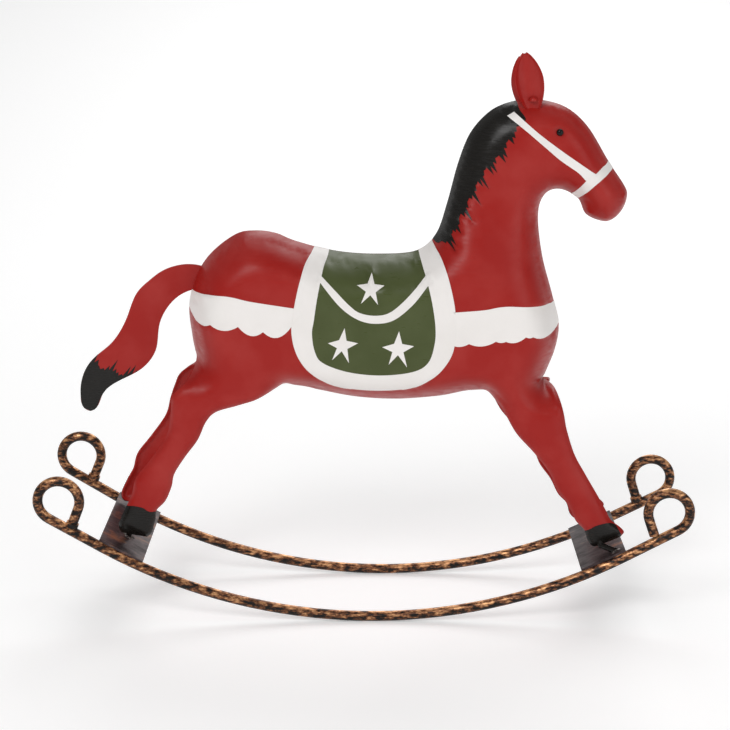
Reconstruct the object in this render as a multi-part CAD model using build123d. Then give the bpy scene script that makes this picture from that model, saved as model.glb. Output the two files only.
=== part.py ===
from build123d import *
import math
import os

# Painted sheet-metal rocking horse on two bent-rod rockers.
# Millimetres. X runs from tail to nose, Y to the horse's left, Z up.
# The origin is the bottom centre of the whole object, on the floor.

# ---- driving dimensions ------------------------------------------------------
SHEET = 0.9                 # thickness of the stamped shells
BODY_DEPTH = 26.0           # how far each half stands out from the seam at the body
HEAD_DEPTH = 14.0           # the same at the neck and head
NECK_LEAN = 26.6            # the neck narrows along a line that leans forward this much
NECK_PIVOT_X = 60.0
NECK_START = 143.0          # along that line: full depth up to here
NECK_END = 192.0            # and head depth from here on
LEG_RIM = 22.0              # how far the open side of a leg stands from the seam plane
LEG_OPENINGS = [(-150.0, -44.0, 119.0), (62.0, 150.0, 113.0)]    # X from, X to, top Z
LEFT_LEG_SETBACK = 4.5      # the left hooves stand this far behind the right ones
SETBACK_TOP = 120.0         # height where the left legs start to lean back
SETBACK_RUN = 20.0          # height over which they reach the full setback
LEFT_HIND_LIFT = 2.2        # the left hind hoof stands this much higher than the right one
LIFT_TOP = 75.0             # height where the left hind leg starts to shorten
LIFT_RUN = 28.0             # height over which it reaches the full lift

ROD_D = 5.0                 # rocker rod
ROD_SPACING = 68.0          # between the rod centre lines
ROCKER_RADIUS = 269.0       # centre-line radius of the rocking arc
ROCKER_MID_X = -1.74        # middle of each rocker
ARC_HALF_ANGLE = 29.2       # the rod is an arc up to here, then straight
STRAIGHT_RUN = 29.7
LOOP_RADIUS = 10.4          # centre-line radius of the end loops
LOOP_TURN = 261.0
LOOP_LEG = 9.7              # straight end of the rod, back to the rocker
SHORT_LOOP_LEG = 8.7        # the front right loop stops short of its rod
ROLL = {"right": 1.15, "left": 2.4}     # nose-down roll of each rocker, degrees

PLATE_ANGLE = 27.05         # place of the cross plates along the rocking arc
PLATE_SIZE = (24.3, 69.0, 1.2)

PEG_D = 3.0
TAIL_SHEET = 1.2
TAB_REACH = 6.0             # the tail's tab goes this far in between the shells
TAB_SLOT = (16.0, TAIL_SHEET, 18.0)     # slot in the rump for the tab
TAB_SLOT_AT = (-85.0, 0.0, 169.0)
EAR_SHEET = 0.8
EAR_CUP_RADIUS = 8.5
LEFT_EAR_DROP = 3.0         # the left ear sits a little lower on its side
EYE_D = 3.4
EYE_SHANK_D = 1.2
EYE_AT = (94.3, 244.2)

REACH = 400.0               # larger than the object, for cutting blocks
FACET = 3.0                 # length of the short straights that stand for a pressed curve
MITRE_LIMIT = 0.6           # keeps the drawn-in corners short

SIDES = {"right": -1.0, "left": 1.0}

# ---- outline of a shell, as (X, Z) points ------------------------------------
# Rim on the seam, from the rump notch over back, crest and head to the chest notch.
TOPLINE = [
    (-86.1, 132.9), (-87.4, 141.0), (-88.5, 155.4), (-84.8, 170.5), (-77.0, 182.5),
    (-64.4, 192.1), (-54.4, 193.9), (-44.4, 192.6), (-34.5, 188.6), (-14.6, 183.5),
    (5.4, 182.0), (25.4, 183.6), (35.3, 192.1), (40.6, 207.2), (45.8, 227.1),
    (51.5, 241.9), (59.7, 251.7), (68.0, 256.5), (78.0, 258.6), (89.0, 258.1),
    (99.9, 254.1), (109.9, 244.8), (120.3, 228.1), (128.1, 216.7), (129.8, 211.7),
    (128.0, 205.2), (123.7, 200.1), (118.3, 198.6), (109.7, 202.2), (105.4, 210.2),
    (96.5, 214.7), (89.1, 212.2), (85.9, 202.2), (88.3, 182.0), (93.9, 161.6),
    (97.6, 146.6), (96.1, 133.7), (91.2, 120.2),
]
# Rim of the front leg: chest notch to hoof tip, then sole, then back up to the belly.
FRONT_LEG_FRONT = [
    (91.2, 120.2), (90.2, 118.6), (92.5, 117.6), (95.0, 116.0), (97.0, 112.2),
    (99.0, 105.2), (100.7, 96.8), (104.8, 84.3), (109.9, 74.9), (117.3, 62.2),
    (121.6, 54.5), (124.2, 49.6), (129.0, 45.8), (131.1, 43.1), (129.5, 40.8),
]
FRONT_LEG_BACK = [
    (118.3, 35.8), (115.3, 35.8), (112.9, 38.6), (111.2, 43.9), (106.5, 49.1),
    (102.3, 57.4), (96.6, 65.4), (92.8, 73.8), (85.1, 84.3), (75.8, 94.7),
    (69.7, 105.0), (65.3, 110.5), (61.1, 113.9), (55.5, 112.9), (46.2, 110.3),
]
# Rim on the seam under the belly, front to back.
BELLY = [(46.2, 110.3), (36.1, 108.5), (16.0, 107.1), (-4.7, 108.3), (-25.0, 112.2)]
# Rim of the hind leg: belly to hoof, then sole, then up to the rump notch.
HIND_LEG_FRONT = [
    (-25.0, 112.2), (-35.1, 115.6), (-40.4, 117.9), (-44.7, 116.6), (-54.4, 112.3),
    (-64.3, 109.2), (-74.3, 106.1), (-79.4, 101.0), (-83.8, 91.6), (-90.5, 82.5),
    (-95.8, 74.0), (-97.5, 67.0), (-100.8, 59.6), (-105.4, 54.6), (-106.2, 49.8),
    (-108.3, 43.0), (-110.6, 40.6),
]
HIND_LEG_BACK = [
    (-121.3, 42.6), (-123.6, 43.4), (-124.4, 47.7), (-120.3, 57.2), (-117.7, 62.7),
    (-115.2, 71.7), (-107.9, 81.2), (-99.9, 92.6), (-97.3, 102.0), (-96.6, 109.2),
    (-95.6, 114.9), (-88.9, 121.1), (-86.1, 125.6), (-85.2, 129.6), (-86.1, 132.9),
]
# The tail plate: root at the rump, over the top to the tip, and back underneath.
TAIL_TOP = [
    (-82.2, 176.0), (-88.2, 176.8), (-94.7, 176.0), (-102.3, 173.0), (-108.9, 168.0),
    (-114.1, 163.0), (-119.5, 151.0), (-123.3, 143.2), (-129.1, 135.5), (-136.9, 129.0),
    (-141.5, 123.4), (-144.2, 116.4), (-144.9, 109.6), (-144.0, 103.2), (-140.2, 100.7),
]
TAIL_UNDER = [
    (-140.2, 100.7), (-137.1, 102.4), (-133.6, 109.6), (-128.3, 114.8), (-113.8, 122.7),
    (-108.6, 127.9), (-105.9, 132.9), (-104.7, 139.9), (-103.8, 145.8), (-100.3, 153.5),
    (-95.1, 159.5), (-87.5, 163.6),
]
# Half of an ear's leaf, as (half width, height) from base to tip.
EAR_LEAF = [(1.6, 0.0), (4.5, 4.2), (6.2, 10.8), (5.9, 16.2), (3.6, 22.4), (0.0, 26.6)]
EAR_BASE = (81.6, 6.4, 255.6)
EAR_TILT = 10.4             # leans back
EAR_SPLAY = 4.0             # leans out

# Pegs: foot on the cross plate (X, distance from the seam), knee and top end in the leg.
PEGS = {
    ("front", "right"): ((126.0, 29.5), (119.5, 23.0, 36.2), (111.0, 23.2, 58.0)),
    ("front", "left"): ((121.0, 23.0), (116.5, 22.6, 36.0), (106.5, 23.2, 58.0)),
    ("rear", "right"): ((-121.0, 14.5), (-116.8, 19.0, 51.0), (-109.8, 23.2, 62.0)),
    ("rear", "left"): ((-121.5, 20.5), (-119.0, 20.5, 50.0), (-113.0, 23.2, 62.0)),
}
SEAM_TACKS = (0.03, 0.13, 0.27, 0.40, 0.52, 0.90)    # places along the topline
WELD_R = 1.5
PEG_STUB_D = 4.2            # weld between a peg's top and the inside of its leg
PEG_STUB_DROP = 2.6         # below the peg's top
COLLAR_D = 6.3              # weld round the end of a loop
COLLAR_RISE = 1.9           # how far it climbs the loop's end
COLLAR_REACH = 0.5          # how far it goes past the end, over the rod


# ---- small helpers -----------------------------------------------------------
def smooth_step(t):
    """Rise from 0 to 1 with level ends."""
    t = min(max(t, 0.0), 1.0)
    return t * t * (3.0 - 2.0 * t)


def in_xz(points):
    """Turn (X, Z) pairs into points on the seam plane."""
    return [(x, 0.0, z) for x, z in points]


def bar(start, end, diameter):
    """Round bar between two points."""
    start = Vector(*start)
    end = Vector(*end)
    plane = Plane(origin=start, z_dir=end - start)
    return plane * Cylinder(
        diameter / 2, (end - start).length, align=(Align.CENTER, Align.CENTER, Align.MIN)
    )


def lump(centre, radius):
    """Round blob of weld metal."""
    return Pos(*centre) * Sphere(radius)


def cut_by(shape, *tools):
    """Shape with every tool taken out of it."""
    for tool in tools:
        shape = shape - tool
    return shape


def largest(shape):
    """The largest solid of a shape, without the slivers that a cut leaves."""
    return shape.solids().sort_by(SortBy.VOLUME)[-1]


# ---- shells ------------------------------------------------------------------
def lifted(x, z):
    """Height of a leg point on the left side, where the hind hoof stands a little higher."""
    if x > 0:
        return z
    return z + LEFT_HIND_LIFT * smooth_step((LIFT_TOP - z) / LIFT_RUN)


def leaned_back(points, side):
    """Leg points of one side; the left legs lean back below SETBACK_TOP."""
    if side == "right":
        return points
    moved = [
        (x - LEFT_LEG_SETBACK * smooth_step((SETBACK_TOP - z) / SETBACK_RUN), lifted(x, z))
        for x, z in points
    ]
    seam_ends = (TOPLINE[0], TOPLINE[-1], BELLY[0], BELLY[-1])
    return [old if old in seam_ends else new for old, new in zip(points, moved)]


def leg_edges(down, up, side):
    """A leg's rim: a curve down, the flat sole, and a curve back up."""
    down = Spline(*in_xz(leaned_back(down, side)))
    up = Spline(*in_xz(leaned_back(up, side)))
    return [down, Line(down @ 1, up @ 0), up]


def rim_edges(side):
    """The closed outline of one shell, as four stretches of edges."""
    return [
        [Spline(*in_xz(TOPLINE))],
        leg_edges(FRONT_LEG_FRONT, FRONT_LEG_BACK, side),
        [Spline(*in_xz(BELLY))],
        leg_edges(HIND_LEG_FRONT, HIND_LEG_BACK, side),
    ]


def depth_block(side, inset):
    """Block that gives a shell its depth: full at the body, shallow at neck and head."""
    sign = SIDES[side]
    body = sign * (BODY_DEPTH - inset)
    head = sign * (HEAD_DEPTH - inset)
    low, high = -REACH, REACH
    profile = Polyline(
        (0, 0, low), (0, body, low), (0, body, NECK_START), (0, head, NECK_END),
        (0, head, high), (0, 0, high), close=True,
    )
    prism = extrude(make_face(Wire(profile.edges())), amount=REACH, dir=(1, 0, 0), both=True)
    return Pos(NECK_PIVOT_X, 0, 0) * Rot(0, NECK_LEAN, 0) * prism


def facets(edge):
    """Start points of the short straight presses that a curved stretch is made of."""
    count = max(1, round(edge.length / FACET))
    return [edge @ (step / count) for step in range(count)]


def drawn_in(points, inset):
    """Closed outline moved inwards: each corner slides along the bisector of its sides."""
    moved = []
    for before, point, after in zip(points[-1:] + points[:-1], points, points[1:] + points[:1]):
        arriving = (point - before).normalized()
        leaving = (after - point).normalized()
        along = (arriving + leaving).normalized()
        inwards = Vector(along.Z, 0, -along.X)
        moved.append(point + inwards * (inset / max(MITRE_LIMIT, along.dot(leaving))))
    return moved


def body_blank(side, inset):
    """Solid half of the horse, its outline drawn in by inset and its face by as much."""
    points = [point for stretch in rim_edges(side) for edge in stretch for point in facets(edge)]
    outline = make_face(Polyline(*drawn_in(points, inset), close=True))
    block = extrude(outline, amount=BODY_DEPTH, dir=(0, SIDES[side], 0))
    return block & depth_block(side, inset)


def body_shell(side, blank, eye_shank):
    """One stamped half of the horse: a pan whose legs are open on their inner side."""
    shell = blank - body_blank(side, SHEET)
    for x_from, x_to, top in LEG_OPENINGS:
        size = (x_to - x_from, 2 * LEG_RIM, top)
        opening = Pos((x_from + x_to) / 2, 0, top / 2) * Box(*size)
        shell = shell - opening
    return cut_by(shell, Pos(*TAB_SLOT_AT) * Box(*TAB_SLOT), eye_shank)


# ---- tail, ears and eyes -----------------------------------------------------
def tail_plate():
    """Flat tail with a tab that is pinched between the two shells."""
    top = Spline(*in_xz(TAIL_TOP))
    under = Spline(*in_xz(TAIL_UNDER))
    root = top @ 0
    foot = under @ 1
    inner_top = Vector(root.X + TAB_REACH, 0, root.Z - 1.0)
    inner_foot = Vector(foot.X + TAB_REACH, 0, foot.Z + 1.0)
    tab = Polyline(foot, inner_foot, inner_top, root).edges()
    outline = make_face(Wire([top, under, *tab]))
    return extrude(outline, amount=TAIL_SHEET / 2, dir=(0, 1, 0), both=True)


def ear(side, blank):
    """Leaf-shaped ear, cupped towards its own side, standing on the crest of the head."""
    sign = SIDES[side]
    right = Spline(*[(w, 0, h) for w, h in EAR_LEAF])
    left = Spline(*[(-w, 0, h) for w, h in EAR_LEAF])
    base = Line(left @ 0, right @ 0)
    outline = make_face(Wire([right, left, base]))
    leaf = extrude(outline, amount=EAR_CUP_RADIUS, dir=(0, 1, 0), both=True)
    tall = 2.5 * EAR_LEAF[-1][1]
    cup = Cylinder(EAR_CUP_RADIUS + EAR_SHEET, tall) - Cylinder(EAR_CUP_RADIUS, tall)
    sheet = leaf & (Pos(0, sign * EAR_CUP_RADIUS, 0) * cup)
    x, y, z = EAR_BASE
    drop = LEFT_EAR_DROP if side == "left" else 0.0
    lean = Rot(-sign * EAR_SPLAY, 0, 0) * Rot(0, -EAR_TILT, 0)
    standing = Pos(x, sign * (y + 0.5 * drop), z - drop) * lean * sheet
    return largest(standing - blank)


def eye_parts(side):
    """Bead of an eye and the shank that goes through the shell."""
    sign = SIDES[side]
    x, z = EYE_AT
    shank = bar((x, sign * (HEAD_DEPTH - 3.0), z), (x, sign * HEAD_DEPTH, z), EYE_SHANK_D)
    bead = lump((x, sign * HEAD_DEPTH, z), EYE_D / 2)
    return bead, shank


# ---- rockers, plates and pegs ------------------------------------------------
def rocker_centre(side):
    """Centre of the rocking arc of one rod, as (X, Z)."""
    roll = math.radians(ROLL[side])
    return ROCKER_MID_X + ROCKER_RADIUS * math.sin(roll), ROCKER_RADIUS + ROD_D / 2


def rocker_point(side, angle):
    """Point on a rod's centre line at a design angle from its middle."""
    centre_x, centre_z = rocker_centre(side)
    turned = math.radians(angle - ROLL[side])
    return Vector(
        centre_x + ROCKER_RADIUS * math.sin(turned),
        SIDES[side] * ROD_SPACING / 2,
        centre_z - ROCKER_RADIUS * math.cos(turned),
    )


def half_rocker(leg):
    """Centre line of half a rocker about the arc's centre, from the middle to its end."""
    arc = JernArc((0, -ROCKER_RADIUS), (1, 0), ROCKER_RADIUS, ARC_HALF_ANGLE)
    heading = arc % 1
    straight = Line(arc @ 1, arc @ 1 + heading * STRAIGHT_RUN)
    loop = JernArc(straight @ 1, heading, LOOP_RADIUS, LOOP_TURN)
    end = Line(loop @ 1, loop @ 1 + (loop % 1) * leg)
    return [arc, straight, loop, end]


def rocker_rod(side):
    """One rod bent to a rocker, its ends curled up and back to the rod."""
    front = half_rocker(SHORT_LOOP_LEG if side == "right" else LOOP_LEG)
    rear = [mirror(edge, about=Plane.YZ).edge() for edge in half_rocker(LOOP_LEG)]
    path = Wire([stretch.edge() for stretch in front] + rear)
    centre_x, centre_z = rocker_centre(side)
    place = Pos(centre_x, SIDES[side] * ROD_SPACING / 2, centre_z) * Rot(90, 0, 0)
    path = place * Rot(0, 0, -ROLL[side]) * path
    start = path @ 0
    section = Plane(origin=start, z_dir=path % 0) * Circle(ROD_D / 2)
    return sweep(section, path=path)


def plate_frame(angle):
    """Plane on top of a cross plate: X along the rods, Z up through the plate."""
    right = rocker_point("right", angle)
    left = rocker_point("left", angle)
    across = (left - right).normalized()
    tilt = math.radians(angle - (ROLL["right"] + ROLL["left"]) / 2)
    along = Vector(math.cos(tilt), 0, math.sin(tilt))
    up = along.cross(across).normalized()
    middle = (left + right) * 0.5
    return Plane(origin=middle + up * (ROD_D / 2 + PLATE_SIZE[2]), x_dir=along, z_dir=up)


def cross_plate(angle, rods):
    """Flat plate lying across both rods."""
    plate = plate_frame(angle) * Box(*PLATE_SIZE, align=(Align.CENTER, Align.CENTER, Align.MAX))
    return cut_by(plate, *rods)


def on_plate(frame, x, y):
    """Point of the plate's top above a given X and Y."""
    up = frame.z_dir
    origin = frame.origin
    z = origin.Z - ((x - origin.X) * up.X + (y - origin.Y) * up.Y) / up.Z
    return Vector(x, y, z)


def plate_side(place):
    """Frame of the front or rear cross plate."""
    return plate_frame(PLATE_ANGLE if place == "front" else -PLATE_ANGLE)


def peg_points(place, side):
    """Foot, knee and top of one hoof peg."""
    (foot_x, foot_y), (knee_x, knee_y, knee_z), (top_x, top_y, top_z) = PEGS[place, side]
    sign = SIDES[side]
    return [
        on_plate(plate_side(place), foot_x, sign * foot_y),
        Vector(knee_x, sign * knee_y, knee_z),
        Vector(top_x, sign * top_y, top_z),
    ]


def hoof_peg(place, side, plate):
    """Bent rod that carries a hoof on its cross plate."""
    foot, knee, top = (tuple(point) for point in peg_points(place, side))
    peg = bar(foot, knee, PEG_D) + lump(knee, PEG_D / 2) + bar(knee, top, PEG_D)
    return largest(cut_by(peg, plate))


# ---- welds -------------------------------------------------------------------
def on_rocker(side, end, point):
    """Point in space of a half rocker's own point, at its front (1) or rear (-1) end."""
    roll = math.radians(-ROLL[side])
    centre_x, centre_z = rocker_centre(side)
    x = end * point.X * math.cos(roll) - point.Y * math.sin(roll)
    z = end * point.X * math.sin(roll) + point.Y * math.cos(roll)
    return Vector(centre_x + x, SIDES[side] * ROD_SPACING / 2, centre_z + z)


def loop_welds(rods):
    """Collar where each loop's end meets its rod; the front right end is left open."""
    collars = []
    leg = half_rocker(LOOP_LEG)[-1]
    for side in SIDES:
        for end in (1, -1):
            if side == "right" and end == 1:
                continue
            foot = on_rocker(side, end, leg @ 1)
            heading = (foot - on_rocker(side, end, leg @ 0)).normalized()
            top = foot - heading * COLLAR_RISE
            collar = bar(tuple(top), tuple(foot + heading * COLLAR_REACH), COLLAR_D)
            collars.append(largest(cut_by(collar, *rods)))
    return Compound(children=collars)


def plate_welds(angle, plate, rods):
    """Bead under each end of a cross plate, along the inner side of the rod."""
    frame = plate_frame(angle)
    beads = []
    for sign in SIDES.values():
        inset = sign * (ROD_SPACING / 2 - 1.6)
        drop = -PLATE_SIZE[2] - 0.8
        ends = [frame.from_local_coords((run, inset, drop)) for run in (-7.0, 7.0)]
        bead = bar(tuple(ends[0]), tuple(ends[1]), 2 * WELD_R)
        beads.append(largest(cut_by(bead, plate, *rods)))
    return Compound(children=beads)


def peg_foot_welds(pegs, plates, rods):
    """Collar of weld round the foot of each peg."""
    collars = []
    for (place, side), peg in pegs.items():
        frame = plate_side(place)
        seat = Plane(origin=peg_points(place, side)[0], x_dir=frame.x_dir, z_dir=frame.z_dir)
        collar = seat * Cone(3.0, 1.9, 1.4, align=(Align.CENTER, Align.CENTER, Align.MIN))
        collars.append(largest(cut_by(collar, peg, plates[place], *rods)))
    return Compound(children=collars)


def peg_top_welds(pegs):
    """Short stub of weld from the top of each peg to the flat inside of its leg."""
    stubs = []
    for (place, side), peg in pegs.items():
        top = peg_points(place, side)[-1]
        height = top.Z - PEG_STUB_DROP
        wall = SIDES[side] * (BODY_DEPTH - SHEET)
        stub = bar((top.X, top.Y, height), (top.X, wall, height), PEG_STUB_D)
        stubs.append(largest(cut_by(stub, peg)))
    return Compound(children=stubs)


def ear_welds(ears, blanks):
    """Blob at the foot of each ear."""
    blobs = []
    for side, sign in SIDES.items():
        x, y, z = EAR_BASE
        drop = LEFT_EAR_DROP if side == "left" else 0.0
        crest = lump((x, sign * (y + 0.5 * drop + 1.2), z + 3.2), 2.0)
        blobs.append(largest(cut_by(crest, ears[side], blanks[side])))
    return Compound(children=blobs)


def seam_welds(shells):
    """Tacks inside the body that join the two halves along the seam."""
    topline = Spline(*in_xz(TOPLINE))
    tacks = []
    for place in SEAM_TACKS:
        heading = topline % place
        inward = Vector(heading.Z, 0, -heading.X)
        centre = topline @ place + inward * (SHEET + 1.0)
        tacks.append(largest(cut_by(lump(tuple(centre), 1.8), *shells.values())))
    return Compound(children=tacks)


def tail_welds(tail, shells):
    """Tacks inside the rump that hold the tail's tab."""
    tacks = []
    for sign in SIDES.values():
        tack = lump((-80.6, sign * (TAIL_SHEET / 2 + 0.5), 170.0), 2.0)
        tacks.append(largest(cut_by(tack, tail, *shells.values())))
    return Compound(children=tacks)


# ---- whole object ------------------------------------------------------------
def build():
    """Every node by name."""
    tail = tail_plate()
    eyes = {side: eye_parts(side) for side in SIDES}
    blanks = {side: body_blank(side, 0.0) for side in SIDES}
    shells = {side: body_shell(side, blanks[side], eyes[side][1]) for side in SIDES}
    ears = {side: ear(side, blanks[side]) for side in SIDES}
    rods = {side: rocker_rod(side) for side in SIDES}
    rod_list = list(rods.values())
    angles = {"front": PLATE_ANGLE, "rear": -PLATE_ANGLE}
    plates = {place: cross_plate(angle, rod_list) for place, angle in angles.items()}
    pegs = {key: hoof_peg(*key, plates[key[0]]) for key in PEGS}
    shells = {
        side: cut_by(shells[side], *[peg for key, peg in pegs.items() if key[1] == side])
        for side in SIDES
    }
    nodes = {"tail_plate": tail}
    for side in SIDES:
        bead, shank = eyes[side]
        nodes[f"body_shell_{side}"] = shells[side]
        nodes[f"ear_{side}"] = ears[side]
        nodes[f"eye_{side}"] = (bead - blanks[side]) + shank
        nodes[f"rocker_rod_{side}"] = rods[side]
    for place, plate in plates.items():
        nodes[f"cross_plate_{place}"] = plate
        nodes[f"plate_welds_{place}"] = plate_welds(angles[place], plate, rod_list)
    for (place, side), peg in pegs.items():
        nodes[f"hoof_peg_{place}_{side}"] = peg
    nodes["loop_welds"] = loop_welds(rod_list)
    nodes["peg_foot_welds"] = peg_foot_welds(pegs, plates, rod_list)
    nodes["peg_top_welds"] = peg_top_welds(pegs)
    nodes["ear_welds"] = ear_welds(ears, blanks)
    nodes["seam_welds"] = seam_welds(shells)
    nodes["tail_welds"] = tail_welds(tail, shells)
    return nodes


def main():
    """Write one STEP file for each node and print the overall size."""
    os.makedirs("parts", exist_ok=True)
    nodes = build()
    for name, shape in nodes.items():
        export_step(shape, f"parts/{name}.step")
    box = Compound(children=[solid for shape in nodes.values() for solid in shape.solids()])
    low, high = box.bounding_box().min, box.bounding_box().max
    print("overall", [round(v, 2) for v in (*low, *high)])


main()
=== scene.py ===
import logging
import math
from dataclasses import dataclass, field
from enum import Enum

import bpy
import numpy as np
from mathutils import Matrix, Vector
from mathutils.geometry import delaunay_2d_cdt


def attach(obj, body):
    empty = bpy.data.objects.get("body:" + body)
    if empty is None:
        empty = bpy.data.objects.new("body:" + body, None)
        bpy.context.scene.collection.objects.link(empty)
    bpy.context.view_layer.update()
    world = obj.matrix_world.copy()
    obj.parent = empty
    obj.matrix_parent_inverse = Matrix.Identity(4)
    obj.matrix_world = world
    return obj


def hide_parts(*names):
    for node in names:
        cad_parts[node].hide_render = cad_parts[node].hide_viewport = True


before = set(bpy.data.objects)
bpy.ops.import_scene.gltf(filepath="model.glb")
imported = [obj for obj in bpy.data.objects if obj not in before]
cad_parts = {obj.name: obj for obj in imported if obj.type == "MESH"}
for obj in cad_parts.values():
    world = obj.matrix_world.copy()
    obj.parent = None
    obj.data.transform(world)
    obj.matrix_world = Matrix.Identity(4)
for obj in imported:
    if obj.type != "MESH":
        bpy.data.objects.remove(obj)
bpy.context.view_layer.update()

LOG = logging.getLogger("rocking_horse")
MM = 0.001
INSIDE_CHUNK = 4000
DISTANCE_CHUNK = 2000
PAINT_STEP = 1.4
BAND_STEP = 1.6
PAINT_SINK = 0.08
Points = list[tuple[float, float]]

# ---- outlines of a stamped half, as (X, Z) in millimetres ---------------------
TOPLINE: Points = [
    (-86.1, 132.9), (-87.4, 141.0), (-88.5, 155.4), (-84.8, 170.5), (-77.0, 182.5),
    (-64.4, 192.1), (-54.4, 193.9), (-44.4, 192.6), (-34.5, 188.6), (-14.6, 183.5),
    (5.4, 182.0), (25.4, 183.6), (35.3, 192.1), (40.6, 207.2), (45.8, 227.1),
    (51.5, 241.9), (59.7, 251.7), (68.0, 256.5), (78.0, 258.6), (89.0, 258.1),
    (99.9, 254.1), (109.9, 244.8), (120.3, 228.1), (128.1, 216.7), (129.8, 211.7),
    (128.0, 205.2), (123.7, 200.1), (118.3, 198.6), (109.7, 202.2), (105.4, 210.2),
    (96.5, 214.7), (89.1, 212.2), (85.9, 202.2), (88.3, 182.0), (93.9, 161.6),
    (97.6, 146.6), (96.1, 133.7), (91.2, 120.2),
]
FRONT_LEG_FRONT: Points = [
    (91.2, 120.2), (90.2, 118.6), (92.5, 117.6), (95.0, 116.0), (97.0, 112.2),
    (99.0, 105.2), (100.7, 96.8), (104.8, 84.3), (109.9, 74.9), (117.3, 62.2),
    (121.6, 54.5), (124.2, 49.6), (129.0, 45.8), (131.1, 43.1), (129.5, 40.8),
]
FRONT_LEG_BACK: Points = [
    (118.3, 35.8), (115.3, 35.8), (112.9, 38.6), (111.2, 43.9), (106.5, 49.1),
    (102.3, 57.4), (96.6, 65.4), (92.8, 73.8), (85.1, 84.3), (75.8, 94.7),
    (69.7, 105.0), (65.3, 110.5), (61.1, 113.9), (55.5, 112.9), (46.2, 110.3),
]
BELLY: Points = [(46.2, 110.3), (36.1, 108.5), (16.0, 107.1), (-4.7, 108.3), (-25.0, 112.2)]
HIND_LEG_FRONT: Points = [
    (-25.0, 112.2), (-35.1, 115.6), (-40.4, 117.9), (-44.7, 116.6), (-54.4, 112.3),
    (-64.3, 109.2), (-74.3, 106.1), (-79.4, 101.0), (-83.8, 91.6), (-90.5, 82.5),
    (-95.8, 74.0), (-97.5, 67.0), (-100.8, 59.6), (-105.4, 54.6), (-106.2, 49.8),
    (-108.3, 43.0), (-110.6, 40.6),
]
HIND_LEG_BACK: Points = [
    (-121.3, 42.6), (-123.6, 43.4), (-124.4, 47.7), (-120.3, 57.2), (-117.7, 62.7),
    (-115.2, 71.7), (-107.9, 81.2), (-99.9, 92.6), (-97.3, 102.0), (-96.6, 109.2),
    (-95.6, 114.9), (-88.9, 121.1), (-86.1, 125.6), (-85.2, 129.6), (-86.1, 132.9),
]

# ---- edges of the painted areas, as (X, Z) in millimetres ---------------------
SADDLE_EDGE: Points = [
    (-22.5, 192.0), (-25.5, 185.7), (-29.5, 179.9), (-32.4, 170.9), (-34.6, 161.1),
    (-36.1, 151.5), (-35.7, 143.4), (-33.1, 135.1), (-27.9, 127.6), (-20.9, 122.1),
    (-12.2, 118.2), (5.4, 117.0), (22.2, 118.4), (32.0, 123.2), (38.8, 129.7),
    (43.2, 137.9), (44.5, 148.6), (43.9, 159.5), (41.1, 172.7), (37.8, 182.1),
    (34.3, 187.6), (30.5, 193.0),
]
SADDLE_FIELD: Points = [
    (-17.2, 191.0), (-18.1, 183.8), (-20.7, 177.4), (-23.3, 165.5), (-25.1, 154.0),
    (-26.1, 146.9), (-24.7, 137.9), (-20.8, 132.3), (-8.5, 127.7), (7.3, 126.0),
    (23.1, 127.7), (30.9, 132.3), (34.0, 141.4), (34.4, 150.5), (32.6, 163.0),
    (29.7, 174.7), (26.8, 183.3), (25.5, 191.0),
]
FLAP_UPPER: Points = [
    (-22.8, 176.4), (-21.1, 174.7), (-14.7, 168.4), (-7.6, 161.1), (-2.5, 157.5),
    (5.3, 156.2), (12.5, 158.0), (21.2, 165.5), (29.5, 174.7), (31.2, 176.6),
]
FLAP_LOWER: Points = [
    (-23.2, 173.2), (-21.6, 171.7), (-12.0, 160.2), (-3.2, 154.0), (5.3, 152.2),
    (14.1, 154.0), (22.9, 161.1), (30.1, 169.9), (31.9, 172.0),
]
STARS: list[tuple[tuple[float, float], Points]] = [
    ((2.8, 168.9), [(3.3, 176.1), (9.4, 170.5), (6.2, 161.5), (-2.1, 162.0), (-4.0, 170.6)]),
    ((-11.2, 141.4), [(-10.1, 150.0), (-3.5, 142.4), (-8.0, 132.3), (-16.3, 133.8), (-18.3, 142.4)]),
    ((16.1, 139.6), [(16.6, 148.4), (24.0, 140.9), (20.6, 130.2), (11.5, 131.5), (8.3, 140.4)]),
]
REAR_BAND_TOP: Points = [
    (-96.0, 163.4), (-86.5, 164.2), (-68.6, 165.5), (-55.8, 163.0), (-35.5, 159.8), (-29.0, 158.8),
]
REAR_BAND_CUSPS: Points = [
    (-96.0, 156.5), (-88.6, 156.0), (-76.2, 150.8), (-62.3, 150.5), (-50.1, 147.9), (-35.8, 151.0),
]
REAR_BAND_SAGS = (0.0, -3.4, -2.2, -3.2, -4.4)
FRONT_BAND_TOP: Points = [
    (38.0, 157.4), (44.1, 157.7), (57.9, 158.8), (70.8, 160.5), (94.9, 158.2), (106.0, 157.4),
]
FRONT_BAND_CUSPS: Points = [
    (41.0, 142.0), (51.0, 141.9), (64.2, 143.1), (69.1, 143.0), (78.9, 145.2), (82.4, 144.9),
    (98.2, 148.0), (106.0, 149.0),
]
FRONT_BAND_SAGS = (-1.5, -1.8, -0.6, -1.6, -0.4, -2.7, 0.0)
CHEEK_STRAP: Points = [
    (72.3, 253.5), (75.3, 251.0), (84.6, 243.2), (95.7, 235.0), (108.8, 226.0), (113.4, 222.4),
    (108.9, 219.9), (103.8, 224.5), (94.9, 230.6), (87.0, 237.2), (77.8, 244.9), (69.0, 251.6),
]
NOSE_BAND: Points = [
    (112.1, 223.5), (115.6, 226.2), (119.2, 228.2), (123.0, 232.0), (127.0, 227.5), (121.8, 225.0),
    (113.4, 219.1), (108.8, 214.4), (105.3, 210.2), (102.0, 206.5), (98.8, 209.2), (102.7, 213.4),
    (108.0, 220.8),
]
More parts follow.
